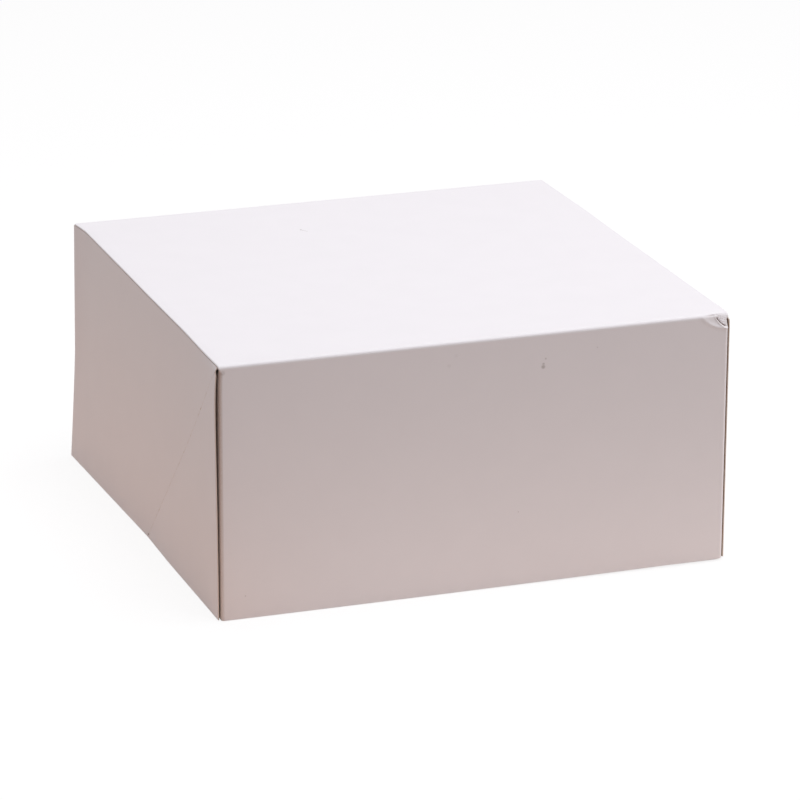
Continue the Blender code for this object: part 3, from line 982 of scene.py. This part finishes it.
def tray_strip():
    """Grid of the tray's strip with its flaps, and the mask that leaves out what is cut away."""
    length, on_wall = tray_flaps(tray_rows)
    half = np.where(on_wall, TAB_X, TRAY_HALF)
    radius = np.full(len(tray_rows), TRAY_RADIUS)
    folds = [(WALL_FLAT, TRAY_RADIUS), (BOTTOM_END, TRAY_RADIUS)]
    shares = lines((-1, 1, 0.1))
    start = (TRAY_FRONT_Y, WALL_TOP)
    down = -math.pi / 2
    sheet = rolled_sheet(start, down, folds, tray_rows, half, radius, shares, TRAY_ROLL_STEPS)
    inward = path(start, headings(down, folds, tray_rows), tray_rows)[1]
    inward = np.insert(inward, 0, 0.0, axis=1)
    reach = lines((0, 1, 0.1))[1:]
    rise = inward[:, None, :] * (length[:, None] * reach)[:, :, None]
    right = sheet[:, -1:, :] + rise
    left = (sheet[:, :1, :] + rise)[:, ::-1]
    grid = np.concatenate([left, sheet, right], axis=1)
    middle = (tray_rows[:-1] + tray_rows[1:]) / 2
    from_ends = np.minimum(middle, BACK_END - middle)
    wall_start = BOTTOM_START + EDGE_SETBACK - TRAY_RADIUS
    cut_away = (from_ends > WALL_FLAT - TAB_MARGIN) & (from_ends < wall_start)
    keep = np.ones((grid.shape[0] - 1, grid.shape[1] - 1), bool)
    flap = len(reach) + TRAY_ROLL_STEPS
    keep[cut_away, :flap] = False
    keep[cut_away, -flap:] = False
    return grid, keep


tray_grid, tray_keep = tray_strip()
tray = board("tray_strip", tray_grid, TRAY_FINISH, tray_set, tray_keep)
walls = ["tray_" + end + "_wall" for end in ("front", "back", "left", "right")]
tabs = ["tray_" + end + "_" + name + "_tab" for end in ("front", "back") for name in ("left", "right")]
seat(tray, "tray", "tray_board", "tray_bottom", *walls, *tabs)


# %% Gussets of the tray
def tray_gusset(end, end_side, name, side):
    """A side wall's triangle above a diagonal, glued to the tab behind it."""
    first = EDGE_SETBACK + BLUNT_TIP
    cut_rows = cut_ends(half_depth * math.sqrt(2)) / math.sqrt(2)
    rows = np.unique(np.concatenate([lines((first, WALL_TOP, TRAY_STEP)), cut_rows]))
    h = rows[(rows >= first) & (rows <= WALL_TOP)][:, None]
    gap = cut_open(h * math.sqrt(2)) * math.sqrt(2)
    v = EDGE_SETBACK + lines((0, 1, 0.1)) * (h - gap - EDGE_SETBACK)
    y = TRAY_FRONT_Y + v if end_side < 0 else REAR_Y - v
    points = facing(np.stack(np.broadcast_arrays(side * TRAY_HALF, y, h), axis=2), (side, 0, 0))
    piece = board("tray_" + end + "_" + name + "_gusset_panel", points, TRAY_FINISH, tray_set)
    seat(piece, "tray", "tray_board", "tray_" + end + "_" + name + "_gusset")


for name, side in (("left", -1), ("right", 1)):
    tray_gusset("front", -1, name, side)
    tray_gusset("back", 1, name, side)

# %% [markdown]
# ## The rear crease
# The lid hinges where the board bends from the back wall into the top. A narrow strip crosses the
# joint, bent round the crease.

# %% Crease strip
CREASE_HALF = LID_HALF - 3 * MM
CREASE_EDGE_RADIUS = 0.1 * MM
crease_rows = lines((0, QUARTER, 0.1 * MM))
crease_half = np.full(len(crease_rows), CREASE_HALF)
crease_radius = np.full(len(crease_rows), CREASE_EDGE_RADIUS)
crease_start = (REAR_Y, WALL_TOP)
crease_folds = [(0, TRAY_RADIUS)]
crease_shares = lines((-1, 1, 0.05))
crease_sheet = rolled_sheet(
    crease_start, math.pi / 2, crease_folds, crease_rows, crease_half, crease_radius, crease_shares, 1
)
crease = board("rear_crease", crease_sheet, LID_FINISH, lid_set)
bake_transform(crease)

# %% [markdown]
# ## Camera
# A long lens, a little to the left of the box and a little above it. Its place, aim and small
# roll were fitted to the box's outline in the photograph.

# %% Camera at the photograph's angle
FOCAL_PIXELS = 4522
IMAGE_PIXELS = 800
SENSOR = 36.0
CAMERA_AZIMUTH = math.radians(-19.819)
CAMERA_ELEVATION = math.radians(18.517)
CAMERA_ROLL = math.radians(0.382)
CAMERA_DISTANCE = 2236.8 * MM
CAMERA_AIM = Vector((4.64 * MM, 0, 54.89 * MM))
CLIP_START = 0.1


def photo_camera():
    """Backs off from the aim point by azimuth and elevation, looks at it and rolls."""
    flat = math.cos(CAMERA_ELEVATION)
    rise = math.sin(CAMERA_ELEVATION)
    back = Vector((math.sin(CAMERA_AZIMUTH) * flat, -math.cos(CAMERA_AZIMUTH) * flat, rise))
    camera = bpy.data.objects.new("camera", bpy.data.cameras.new("camera"))
    camera.data.lens = FOCAL_PIXELS * SENSOR / IMAGE_PIXELS
    camera.data.sensor_width = SENSOR
    camera.data.clip_start = CLIP_START
    looking = (-back).to_track_quat("-Z", "Y").to_matrix().to_4x4()
    rolled = looking @ Matrix.Rotation(CAMERA_ROLL, 4, "Z")
    camera.matrix_world = Matrix.Translation(CAMERA_AIM + back * CAMERA_DISTANCE) @ rolled
    bpy.context.scene.collection.objects.link(camera)
    bpy.context.scene.camera = camera


photo_camera()
print("camera lens %.1f mm" % bpy.context.scene.camera.data.lens)

# %% [markdown]
# ## Floor and light
# The box stands on a pale floor under one wide, soft lamp, with a small weak one low on the
# right. The floor looks white to the camera and keeps a faint shadow, while the light that it
# throws back is the warm light that the box shows on its upright faces.

# %% Floor
FLOOR_HALF = 3.0
FLOOR_GAP = 0.2 * MM
EYE_GLOW = 0.84
EYE_PAINT = (0.2, 0.2, 0.2, 1.0)
BRIGHT_FLOOR = 0.15
DIM_FLOOR = 0.5
LEFT_FLOOR = -0.2
RIGHT_FLOOR = -0.06


def white_to_the_eye(tree):
    """1 for rays from the camera and for mirrored or refracted ones, 0 for all others."""
    rays = add(tree, "LightPath").outputs
    amount = rays["Is Camera Ray"]
    for kind in ("Is Glossy Ray", "Is Transmission Ray"):
        amount = add(tree, "Math", {0: amount, 1: rays[kind]}, operation="MAXIMUM").outputs[0]
    return amount


def floor():
    """A wide sheet: a white glow over grey paint for the eye, and a warm matt face for light.

    The light that the floor throws back is brightest near the box and warmest on its left.
    """
    corners = [(x * FLOOR_HALF, y * FLOOR_HALF, 0) for x, y in ((-1, -1), (1, -1), (1, 1), (-1, 1))]
    mesh = bpy.data.meshes.new("floor")
    mesh.from_pydata(corners, [], [(0, 1, 2, 3)])
    material = bpy.data.materials.new("studio_floor")
    material.use_nodes = True
    tree = material.node_tree
    tree.nodes.clear()
    eye = white_to_the_eye(tree)
    glow = add(tree, "Emission", {"Color": linear("#FFFFFF"), "Strength": EYE_GLOW})
    paint = add(tree, "BsdfDiffuse", {"Color": EYE_PAINT})
    seen = add(tree, "AddShader", {0: glow.outputs[0], 1: paint.outputs[0]})
    place = add(tree, "TexCoord").outputs["Object"]
    away = add(tree, "VectorMath", {0: place}, operation="LENGTH").outputs["Value"]
    far = sharpened(tree, away, BRIGHT_FLOOR, DIM_FLOOR)
    sideways = add(tree, "SeparateXYZ", {"Vector": place}).outputs["X"]
    right = sharpened(tree, sideways, LEFT_FLOOR, RIGHT_FLOOR)
    near = between(tree, right, "#F8CEB2", "#F6E1D4")
    away_colour = between(tree, right, "#C6B9B2", "#978780")
    bounced = add(tree, "BsdfDiffuse", {"Color": between(tree, far, near, away_colour)})
    mixed = add(tree, "MixShader", {0: eye, 1: bounced.outputs[0], 2: seen.outputs[0]})
    add(tree, "OutputMaterial", {"Surface": mixed.outputs[0]})
    mesh.materials.append(material)
    sheet = bpy.data.objects.new("floor", mesh)
    sheet.location.z = -FLOOR_GAP
    bpy.context.scene.collection.objects.link(sheet)


floor()

# %% World and lamps
SKY_COLOUR = (0.28, 0.27, 0.28, 1.0)


def world():
    """White for the eye, and a dim even sky for everything else."""
    bpy.context.scene.world = bpy.data.worlds.new("studio")
    bpy.context.scene.world.use_nodes = True
    tree = bpy.context.scene.world.node_tree
    tree.nodes.clear()
    eye = white_to_the_eye(tree)
    background = add(tree, "Background", {"Color": between(tree, eye, SKY_COLOUR, "#FFFFFF")})
    add(tree, "OutputWorld", {"Surface": background.outputs[0]})


def soft_lamp(name, place, aim, size, energy, colour):
    """A square area lamp that looks at a point."""
    lamp = bpy.data.lights.new(name, "AREA")
    lamp.size = size
    lamp.energy = energy
    lamp.color = colour
    holder = bpy.data.objects.new(name, lamp)
    turned = (Vector(aim) - Vector(place)).to_track_quat("-Z", "Y").to_matrix().to_4x4()
    holder.matrix_world = Matrix.Translation(place) @ turned
    bpy.context.scene.collection.objects.link(holder)


world()
soft_lamp(
    "overhead", place=(0.2, -0.1, 1.9), aim=(0, 0, 0.1), size=1.6, energy=28.8, colour=(1.0, 0.985, 1.0)
)
soft_lamp(
    "right_fill", place=(0.75, -0.32, 0.2), aim=(0.1, -0.1, 0.06), size=0.3, energy=0.95,
    colour=(1.0, 0.95, 0.93)
)
print("lamps:", ", ".join(sorted(light.name for light in bpy.data.lights)))

# %% Colour management
bpy.context.scene.view_settings.view_transform = "Standard"
